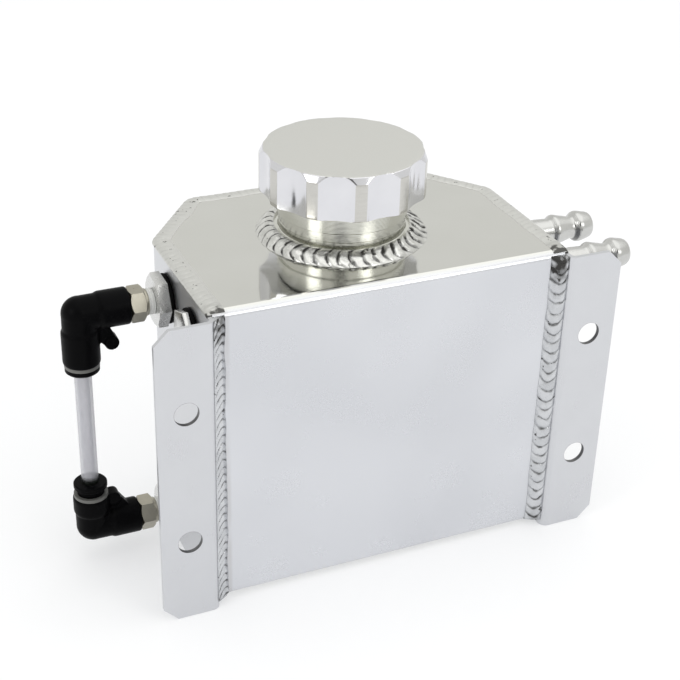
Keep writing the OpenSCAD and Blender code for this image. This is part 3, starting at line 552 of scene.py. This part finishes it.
def hexagon(bm, across_flats, low, high, where, turned_by):
    """Hexagonal head between two heights, its edges eased."""
    corner_r = across_flats / math.sqrt(3)
    made = bmesh.ops.create_cone(bm, cap_ends=True, segments=6, radius1=corner_r,
                                 radius2=corner_r, depth=high - low)
    bmesh.ops.transform(bm, matrix=where @ Matrix.Translation((0, 0, (low + high) / 2))
                        @ Matrix.Rotation(math.radians(turned_by), 4, "Z"), verts=made["verts"])
    edges = list(dict.fromkeys(edge for vert in made["verts"] for edge in vert.link_edges))
    bmesh.ops.bevel(bm, geom=edges, offset=0.45, offset_type="OFFSET", segments=3, profile=0.5,
                    affect="EDGES", material=-1)


def fused(bm, voxel):
    """The union of closed shapes, in millimetres, as one skin with softened inner corners."""
    mesh = bpy.data.meshes.new("shell")
    bm.to_mesh(mesh)
    bm.free()
    whole = bpy.data.objects.new("shell", mesh)
    bpy.context.collection.objects.link(whole)
    remesh = whole.modifiers.new("fuse", "REMESH")
    remesh.mode = "VOXEL"
    remesh.voxel_size = voxel
    smooth = whole.modifiers.new("soften", "SMOOTH")
    smooth.factor = 0.5
    smooth.iterations = 4
    return applied(whole)


def applied(thing):
    """The finished mesh of an object, which is then removed."""
    seen = thing.evaluated_get(bpy.context.evaluated_depsgraph_get())
    bm = bmesh.new()
    bm.from_mesh(seen.to_mesh())
    seen.to_mesh_clear()
    mesh = thing.data
    bpy.data.objects.remove(thing)
    bpy.data.meshes.remove(mesh)
    return bm


def cut(bm, outline, where):
    """Takes a turned plug out of a shape."""
    plug_bm = bmesh.new()
    turned(plug_bm, outline, where)
    bmesh.ops.recalc_face_normals(plug_bm, faces=plug_bm.faces)
    things = []
    for name, shape in (("shell", bm), ("plug", plug_bm)):
        mesh = bpy.data.meshes.new(name)
        shape.to_mesh(mesh)
        shape.free()
        things.append(bpy.data.objects.new(name, mesh))
        bpy.context.collection.objects.link(things[-1])
    carve = things[0].modifiers.new("carve", "BOOLEAN")
    carve.operation = "DIFFERENCE"
    carve.solver = "EXACT"
    carve.object = things[1]
    made = applied(things[0])
    mesh = things[1].data
    bpy.data.objects.remove(things[1])
    bpy.data.meshes.remove(mesh)
    return made


# Welds

def neck_bead():
    """Bead round the foot of the neck, with its painted valley shade deepened in a few places near
    its top.
    """
    ripples, steps = 42, 12

    def sections(i):
        along = i / steps
        out = NECK_BEAD_R + 0.3 * wander(along * 0.6, 2.0)
        section = section_through((23.6, 3.6), (25.3, 3.9), (28.6, 1.5), (out, 0.02), 20,
                                  [(24.45, 0.02), (24.45, 2.62), (23.6, 2.62)])
        points = rippled(section, along, 0.6, 0.6, 3.0, 1.35)
        # painted shade, deepened in a few places on the inner half of the bead
        deeper_shade_near_top = 1.6 * max(0.0, wander(along * 0.8, 31.0) + 0.3)
        return [(p, v * (1 + deeper_shade_near_top * (0.08 < (s[2] or 0) < 0.5)))
                for (p, v), s in zip(points, section)]

    def frames(i, p):
        a = FULL_TURN * i / (ripples * steps)
        return Vector((NECK[0] + p.x * math.cos(a), NECK[1] + p.x * math.sin(a), PLATE_TOP + p.y))

    piece("neck_bead", bead(ripples * steps, True, sections, frames), "tank", "neck_weld")


def bend_depth(past):
    """How far the rounded edge of the channel lies back, past the flat by so much."""
    if past <= 0:
        return 0.0
    return CHANNEL_BEND - math.sqrt(max(0.0, CHANNEL_BEND ** 2 - min(past, CHANNEL_BEND) ** 2))


def wall_stations(front, spacing):
    """Places and outward directions along the outside of the walls, evenly spaced."""
    corners = [Vector(p) for p in ((-WALL_X, front), (-WALL_X, SIDE_END_Y), (-BACK_HALF, BACK_Y),
                                   (BACK_HALF, BACK_Y), (WALL_X, SIDE_END_Y), (WALL_X, front))]
    path = [corners[0]]
    for before, corner, after in zip(corners, corners[1:], corners[2:]):
        u, v = (corner - before).normalized(), (after - corner).normalized()
        turn = u.angle(v)
        reach = WALL_BEND * math.tan(turn / 2)
        centre = corner - u * reach + Vector((u.y, -u.x)) * WALL_BEND
        arm = corner - u * reach - centre
        path += [centre + Matrix.Rotation(-turn * k / 12, 2) @ arm for k in range(13)]
    path.append(corners[-1])
    lengths = [0.0]
    for first, second in zip(path, path[1:]):
        lengths.append(lengths[-1] + (second - first).length)
    count = round(lengths[-1] / spacing)
    places, k = [], 0
    for i in range(count + 1):
        s = lengths[-1] * i / count
        while k < len(path) - 2 and lengths[k + 1] < s:
            k += 1
        step = path[k + 1] - path[k]
        share = (s - lengths[k]) / step.length
        places.append(path[k] + step * share)
    outward = []
    for i in range(len(places)):
        step = places[min(i + 1, count)] - places[max(i - 1, 0)]
        outward.append(Vector((-step.y, step.x)).normalized())
    return list(zip(places, outward))


def seam_beads():
    """Beads round the top plate and round the bottom, along the walls' outside."""
    pitch, steps = 2.8, 8
    stations = wall_stations(PANEL_Y + 0.9, pitch / steps)
    last = len(stations) - 1

    def top_sections(i):
        place, _ = stations[i]
        lift = PLATE_TOP - STRIP_TOP - bend_depth(PANEL_Y + CHANNEL_BEND - place.y)
        ends = min(1.0, 0.4 + 0.6 * min(i, last - i) / 10)
        along = i / steps
        wide = SEAM_WIDTH + 0.5 * wander(along * 0.3, 7.0)
        burn = 0.95 * max(0.0, 1 - i * pitch / steps / 6) + 1.2 * max(
            0.0, 1 - (last - i) * pitch / steps / 8)
        section = section_through((-0.1, -0.7), (-1.75 * ends, 1.1),
                                  (1.8, lift + 1.0 * ends), (wide, lift + 0.02), 18,
                                  [(SHEET, lift + 0.02), (SHEET, 0.02), (-0.1, 0.02)])
        return rippled(section, along, 0.13, 0.35, 11.0, 0.28, burn)

    def top_frames(i, p):
        place, outward = stations[i]
        spot = place - outward * p.x
        return Vector((spot.x, spot.y, STRIP_TOP + p.y))

    piece("top_seam_bead", bead(len(stations), False, top_sections, top_frames),
          "tank", "top_seam_weld")

    low_step, low_pitch = 0.8, 4.1
    low_stations = wall_stations(PANEL_Y + CHANNEL_BEND, low_step)

    def low_sections(i):
        inner = SHEET + 0.05
        section = section_through((inner + 3.6, 1.25), (inner + 2.4, 0.3), (inner + 1.2, 0.05),
                                  (inner, 0.2), 8, [(inner, 1.25)])
        return rippled(section, i * low_step / low_pitch, 0.3, 0.3, 17.0, 0.7)

    def low_frames(i, p):
        place, outward = low_stations[i]
        spot = place - outward * p.x
        return Vector((spot.x, spot.y, STRIP_BOTTOM + p.y))

    piece("bottom_seam_bead", bead(len(low_stations), False, low_sections, low_frames),
          "tank", "bottom_seam_weld")


def corner_bead(name, node, side, width, start, pitch, lean, skew, seed, scorch):
    """Bead down a front corner; side is -1 on the left and 1 on the right.

    start is how far round the flange bend its outer edge lies, in degrees, lean and skew
    curve its ripples, and scorch is how burnt its top is.
    """
    bottom, top = PLATE_BOTTOM + 0.9, STRIP_TOP - 0.1
    steps = 12
    stations = round((top - bottom) / pitch * steps)
    inner = WALL_X - SHEET

    def height(i):
        return bottom + (top - bottom) * i / (stations - 1)

    def on_bend(turned_by):
        a, r = math.radians(turned_by), FLANGE_BEND + 0.05
        return inner + FLANGE_BEND - r * math.cos(a), FLANGE_BEND - r * math.sin(a)

    def sections(i):
        z = height(i)
        along = i / steps
        face = (PANEL_Y + bend_depth(z - PLATE_TOP + CHANNEL_BEND)
                + bend_depth(PLATE_BOTTOM + CHANNEL_BEND - z) - 0.05)
        ends = math.sqrt(min(1.0, (min(i, stations - 1 - i) + 0.6) / 6))
        wide = width + 0.4 * wander(along * 0.5, seed)
        back = [(inner - 0.05, face)] + [on_bend(start * k / 4) for k in range(4)]
        edge, foot = Vector(on_bend(start)), Vector((inner - wide, face))
        lift = Vector((0, -1.7 * ends))
        pull, push = edge.lerp(foot, 0.3) + lift * 0.8, edge.lerp(foot, 0.75) + lift
        section = section_through(edge, pull, push, foot, 18, back)
        # the burn adds scorch towards the top end, and a darker tone towards the bottom
        burn = (scorch * min(1.0, max(0.0, 1.6 - (top - z) / 7))
                + 0.4 * max(0.0, 1 - (z - bottom) / 11))
        return rippled(section, along, 0.6 * ends, lean, seed, 0.95, burn, skew)

    piece(name, bead(stations, False, sections,
                     lambda i, p: Vector((side * p.x, p.y, height(i)))), "tank", node)


def tail_beads():
    """Beads round the feet of the hose tails."""
    for name, node, y in (("front_tail_bead", "front_tail_weld", TAIL_YS[0]),
                          ("rear_tail_bead", "rear_tail_weld", TAIL_YS[1])):
        ripples, steps = 12, 8

        def sections(i):
            section = section_through((4.95, 1.75), (5.7, 1.7), (7.0, 0.9), (7.35, 0.02), 10,
                                      [(4.95, 0.02)])
            return rippled(section, i / steps, 0.5, 0.35, y, 0.9)

        def frames(i, p):
            a = FULL_TURN * i / (ripples * steps)
            return Vector((WALL_X + p.y, y + p.x * math.cos(a), TAIL_Z + p.x * math.sin(a)))

        piece(name, bead(ripples * steps, True, sections, frames), "tank", node)


# Filler

def groove(along):
    """Depth from 0 to 1 of a rounded thread groove, once a turn."""
    share = along - math.floor(along)
    return max(0.0, math.sin(math.pi * share)) ** 0.7


def neck_body():
    """Neck with its collar, a fine groove and the thread for the cap."""
    turns, rings = 192, 60
    thread_r, thread_depth, thread_foot, thread_length = 21.0, 0.9, 15.4, 10.0
    profile = [(18.5, -2.3), (21.5, -2.3), (21.5, 0.05), (24.4, 0.05), (24.4, 2.3), (24.1, 2.6),
               (22.3, 2.6), (22.0, 2.8), (22.0, 5.2), (21.85, 5.3), (21.85, 5.5), (22.0, 5.6),
               (22.0, 8.3), (22.2, 8.5), (22.35, 8.5), (22.5, 8.65), (22.5, 14.8), (22.3, 15.0),
               (thread_r, 15.0)]
    threaded = [(thread_r, thread_foot + thread_length * k / rings) for k in range(rings + 1)]
    profile += threaded + [(20.7, 25.8), (20.5, 26.0), (18.8, 26.0), (18.5, 25.7)]
    first = profile.index(threaded[0])
    last = first + len(threaded) - 1

    def place(row, column):
        a = FULL_TURN * row / turns
        r, h = profile[column % len(profile)]
        if first < column % len(profile) < last:
            ease = min(1.0, h - thread_foot, (thread_foot + thread_length - h) / 0.8)
            r -= thread_depth * ease * groove(h / THREAD_PITCH - a / FULL_TURN)
        return Vector((NECK[0] + r * math.cos(a), NECK[1] + r * math.sin(a), PLATE_TOP + h))

    piece("neck_body", loft(turns, len(profile), place), "tank", "filler_neck")


def scalloped_cap():
    """Cap, closed on top, with scallops round its side and the thread inside."""
    scallops, per_scallop, rings = 11, 60, 60
    turns = scallops * per_scallop
    cap_r, depth, scallop_r, soft = 28.7, 1.75, 18.5, 0.3
    foot, ceiling, top = 15.6, 27.3, 30.95
    thread_r, thread_depth, thread_length = 21.08, 0.8, 10.3
    start = math.radians(-118)
    outside = ([(28.3, foot), (28.45, foot + 0.06), (28.62, foot + 0.22), (cap_r, foot + 0.4)]
               + [(cap_r, foot + 0.4 + 12.6 * k / 10) for k in range(1, 11)]
               + [(cap_r - 1.25 * k / 9, 28.7 + 2.1 * k / 9) for k in range(1, 9)]
               + [(27.46, 30.8), (27.36, 30.9), (27.15, top)])
    roof = [(r, top) for r in (25.0, 18.0, 10.0, 4.0, 0.0)]
    inside = [(0.0, ceiling), (10.0, ceiling), (20.6, ceiling), (thread_r, ceiling - 0.4)]
    threaded = [(thread_r, ceiling - 0.8 - thread_length * k / rings) for k in range(rings + 1)]
    profile = outside + roof + inside + threaded + [(thread_r, foot + 0.3), (21.4, foot)]
    carved = len(outside) + 1
    first = len(outside) + len(roof) + len(inside)
    last = first + len(threaded) - 1

    def scallop_edge(a):
        """Radius of the nearest scallop in the direction a."""
        pitch = FULL_TURN / scallops
        off = (a - start + pitch / 2) % pitch - pitch / 2
        middle = cap_r - depth + scallop_r
        inner = scallop_r ** 2 - (middle * math.sin(off)) ** 2
        return middle * math.cos(off) - math.sqrt(max(0.0, inner)) if inner > 0 else 99.0

    def place(row, column):
        a = FULL_TURN * row / turns
        k = column % len(profile)
        r, h = profile[k]
        if k < carved:
            gap = r - scallop_edge(a)
            if gap > soft:
                r -= gap
            elif gap > -soft:
                r -= (gap + soft) ** 2 / (4 * soft)
        if first < k < last:
            r += thread_depth * min(1.0, (k - first) / 6, (last - k) / 6) * groove(
                h / THREAD_PITCH - a / FULL_TURN + 0.5)
        return Vector((NECK[0] + r * math.cos(a), NECK[1] + r * math.sin(a), PLATE_TOP + h))

    piece("scalloped_cap", loft(turns, len(profile), place), "cap", "filler_cap")


# Sight level

def sight_elbow(name, node, port_z, branch, reach, eye_off, eye_up, root_spots):
    """Moulded elbow; branch is -1 when its mouth faces down and 1 when it faces up.

    A web joins its lug to the barrels at root_spots, which like the eye of the lug are
    measured from the corner where the two barrels meet.
    """
    web_thickness = 3.6
    corner = Vector((-WALL_X - TUBE_OUT, PORT_Y, port_z))
    level = Matrix.Translation((-WALL_X, PORT_Y, port_z)) @ Matrix.Rotation(-math.pi / 2, 4, "Y")
    upright = Matrix.Translation(corner) @ (
        Matrix.Rotation(math.pi, 4, "X") if branch < 0 else Matrix.Identity(4))
    bm = bmesh.new()
    turned(bm, [(0.0, 14.2), (6.05, 14.2), (6.3, 14.35), (6.4, 14.7), (6.4, 23.6), (6.2, 24.35),
                (5.9, 24.8), (5.85, TUBE_OUT), (0.0, TUBE_OUT)], level)
    turned(bm, [(0.0, 0.0), (5.85, 0.0), (5.9, 5.6), (6.3, 6.4), (6.4, 7.0), (6.4, reach - 0.9),
                (6.3, reach - 0.3), (6.05, reach), (0.0, reach)], upright)
    ball = bmesh.ops.create_uvsphere(bm, u_segments=64, v_segments=32, radius=ELBOW_CORE_R)
    bmesh.ops.translate(bm, vec=corner, verts=ball["verts"])
    eye = Matrix.Translation(corner + Vector((eye_off, 0, branch * eye_up)))
    for r, thickness, segments in ((2.5, 5.0, 48), (2.2, web_thickness, 32)):
        disc = bmesh.ops.create_cone(bm, cap_ends=True, segments=segments, radius1=r, radius2=r,
                                     depth=thickness)
        bmesh.ops.transform(bm, matrix=eye @ Matrix.Rotation(math.pi / 2, 4, "X"),
                            verts=disc["verts"])
        web = disc["verts"]
    for off, up in ((4.0, 4.0), *root_spots):
        root = bmesh.ops.create_cube(bm, size=1.0)
        bmesh.ops.scale(bm, vec=(1.0, web_thickness, 1.0), verts=root["verts"])
        bmesh.ops.translate(bm, vec=corner + Vector((off, 0, up * branch)), verts=root["verts"])
        web += root["verts"]
    hull = bmesh.ops.convex_hull(bm, input=web)
    inner = dict.fromkeys(v for v in hull["geom_interior"] if isinstance(v, bmesh.types.BMVert))
    bmesh.ops.delete(bm, geom=list(inner), context="VERTS")
    in_order(bm)
    bmesh.ops.recalc_face_normals(bm, faces=bm.faces)
    shell = fused(bm, voxel=0.26)
    shell = cut(shell, [(0.0, 13.0), (4.45, 13.0), (4.45, 22.5), (0.0, 22.5)], level)
    shell = cut(shell, [(0.0, reach + 1), (5.6, reach + 1), (5.6, reach - 7.15),
                        (0.0, reach - 7.15)], upright)
    piece(name, shell, "tank", node)


# Hose tails, plug, collars and tape

def hose_tail(name, node, y):
    """Hose tail, bored through, with two rounded barbs that are steep towards the wall."""
    along = Matrix.Translation((WALL_X, y, TAIL_Z)) @ Matrix.Rotation(math.pi / 2, 4, "Y")
    bm = bmesh.new()
    turned(bm, [(3.5, -3.5), (4.85, -3.5), (4.85, 12.0), (4.6, 16.0), (4.6, 16.9), (4.75, 17.2),
                (5.35, 17.9), (5.6, 18.4), (5.7, 18.9), (5.6, 19.5), (5.0, 21.9), (4.4, 24.3),
                (4.15, 25.6), (4.2, 26.1), (4.5, 26.5), (5.3, 27.4), (5.6, 27.9), (5.75, 28.6),
                (5.68, 29.4), (5.35, 31.0), (5.0, 32.5), (4.7, 33.3), (4.3, 33.8), (3.5, 33.8)],
           along)
    piece(name, bm, "tank", node)


def port_plug():
    """Blanking plug with a thin hexagonal head."""
    out = Matrix.Translation((-WALL_X, PLUG_Y, PLUG_Z)) @ Matrix.Rotation(-math.pi / 2, 4, "Y")
    bm = bmesh.new()
    turned(bm, [(0.0, -6.6), (6.0, -6.6), (6.4, -6.2), (6.4, 1.8), (0.0, 1.8)], out)
    hexagon(bm, PLUG_FLATS, low=1.55, high=3.7, where=out, turned_by=20)
    piece("port_plug", bm, "tank", "blanking_plug")


def stud_collar(name, port_z):
    """Turned step of the stud, between its hexagon and the tape."""
    out = Matrix.Translation((-WALL_X, PORT_Y, port_z)) @ Matrix.Rotation(-math.pi / 2, 4, "Y")
    bm = bmesh.new()
    turned(bm, [(4.0, 7.5), (4.35, 7.5), (4.65, 7.8), (4.7, 8.0), (4.7, 8.85), (4.0, 8.85)], out)
    piece(name, bm, "tank", slot="nickel_plate")


def tape_wrap(name, node, port_z):
    """Tape wound over the thread, which shows through as soft ridges."""
    turns, rings, first, length, wound = 96, 40, 5.45, 3.2, 0.95
    heights = [first + length * k / rings for k in range(rings + 1)]
    inside = [(4.15, heights[-1]), (4.15, heights[0])]

    def place(row, column):
        a = FULL_TURN * row / turns
        k = column % (rings + 3)
        if k > rings:
            r, h = inside[k - rings - 1]
        else:
            h = heights[k]
            ridge = math.sin(FULL_TURN * (h / wound - a / FULL_TURN))
            fold = wander(math.cos(a) * 1.3, math.sin(a) * 1.3, h * 0.9)
            ends = min(1.0, k / 3 + 0.3, (rings - k) / 3 + 0.3)
            r = 4.18 + ends * (0.25 + 0.07 * ridge + 0.08 * fold)
        return Vector((-WALL_X - h, PORT_Y + r * math.cos(a), port_z + r * math.sin(a)))

    piece(name, loft(turns, rings + 3, place), "tank", node)


neck_bead()
seam_beads()
corner_bead("left_corner_bead", "left_corner_weld", side=-1, width=3.9, start=44, pitch=3.1,
            lean=-1.25, skew=-0.7, seed=21.0, scorch=0.7)
corner_bead("right_corner_bead", "right_corner_weld", side=1, width=5.5, start=26, pitch=3.9,
            lean=0.5, skew=0.0, seed=29.0, scorch=0.95)
tail_beads()
hose_tail("front_tail_body", "front_hose_tail", TAIL_YS[0])
hose_tail("rear_tail_body", "rear_hose_tail", TAIL_YS[1])
neck_body()
scalloped_cap()
port_plug()
sight_elbow("upper_elbow_body", "upper_elbow", UPPER_PORT_Z, branch=-1, reach=18.4,
            eye_off=10.2, eye_up=12.2, root_spots=((5.0, 9.0), (8.5, 5.0)))
sight_elbow("lower_elbow_body", "lower_elbow", LOWER_PORT_Z, branch=1, reach=12.6,
            eye_off=7.6, eye_up=10.1, root_spots=((5.0, 9.0), (13.0, 5.0)))
stud_collar("upper_stud_collar", UPPER_PORT_Z)
stud_collar("lower_stud_collar", LOWER_PORT_Z)
tape_wrap("upper_tape_wrap", "upper_thread_tape", UPPER_PORT_Z)
tape_wrap("lower_tape_wrap", "lower_thread_tape", LOWER_PORT_Z)


# Studio

EYE = (-0.1921, -0.3767, 0.27285)
EYE_RIGHT = (0.91662, -0.39894, 0.02542)
EYE_UP = (0.17457, 0.45669, 0.87233)
EYE_BACK = (-0.35962, -0.79516, 0.48825)
LENS = 77.747          # for a picture as wide as 36 mm
FLOOR_GAP = 0.0002


def stage_floor():
    bm = bmesh.new()
    bmesh.ops.create_grid(bm, x_segments=1, y_segments=1, size=3.0)
    mesh = bpy.data.meshes.new("studio_floor")
    bm.to_mesh(mesh)
    bm.free()
    floor = bpy.data.objects.new("studio_floor", mesh)
    floor.location = (0, 0, STRIP_BOTTOM * MM - FLOOR_GAP)
    bpy.context.collection.objects.link(floor)
    mesh.materials.append(finish_of("pale_floor", lambda paint: {
        "Base Color": paint.mix(paint.clouds((0.002, 0.002, 0.002)), (0.46, 0.46, 0.46),
                                (0.48, 0.48, 0.48)),
        "Roughness": 0.9, "Metallic": 0.0, "Emission Color": (0.97, 0.98, 1.0),
        "Emission Strength": 0.5}))


def soft_light(name, place, target, size, watts):
    light = bpy.data.lights.new(name, "AREA")
    light.shape = "DISK"
    light.size = size
    light.energy = watts
    lamp = bpy.data.objects.new(name, light)
    lamp.location = place
    lamp.rotation_euler = (Vector(target) - Vector(place)).to_track_quat("-Z", "Y").to_euler()
    bpy.context.collection.objects.link(lamp)


def studio_world():
    """Pale room that is darker round the photographer."""
    world = bpy.data.worlds.new("studio")
    bpy.context.scene.world = world
    world.use_nodes = True
    paint = Paint(world.node_tree)
    towards = paint.node("ShaderNodeTexCoord", output="Generated")
    seen = Vector((-0.36, -0.795, 0.488)).normalized()
    facing = paint.node("ShaderNodeVectorMath", {"operation": "DOT_PRODUCT"},
                        {0: towards, 1: seen}, "Value")
    colour = paint.mix(facing.between(0.962, 0.99), (0.86, 0.86, 0.84), (0.02, 0.02, 0.02))
    room = paint.node("ShaderNodeBackground", None, {"Color": colour, "Strength": 1.0})
    paint.node("ShaderNodeOutputWorld", None, {"Surface": room})


def camera():
    data = bpy.data.cameras.new("camera")
    data.sensor_width = 36.0
    data.lens = LENS
    data.clip_start, data.clip_end = 0.01, 20.0
    eye = bpy.data.objects.new("camera", data)
    turn = Matrix((EYE_RIGHT, EYE_UP, EYE_BACK)).transposed()
    eye.matrix_world = Matrix.Translation(EYE) @ turn.to_4x4()
    bpy.context.collection.objects.link(eye)
    bpy.context.scene.camera = eye


stage_floor()
studio_world()
camera()
soft_light("overhead", (0.3, 0.0, 1.25), target=(0, 0.04, 0), size=2.0, watts=6)
soft_light("left_box", (-1.0, -0.28, 0.6), target=(0, 0.04, 0.05), size=0.5, watts=1.9)
soft_light("right_box", (0.45, -0.94, 0.6), target=(0, 0.04, 0.05), size=0.5, watts=1.9)
bpy.context.scene.view_settings.view_transform = "Standard"
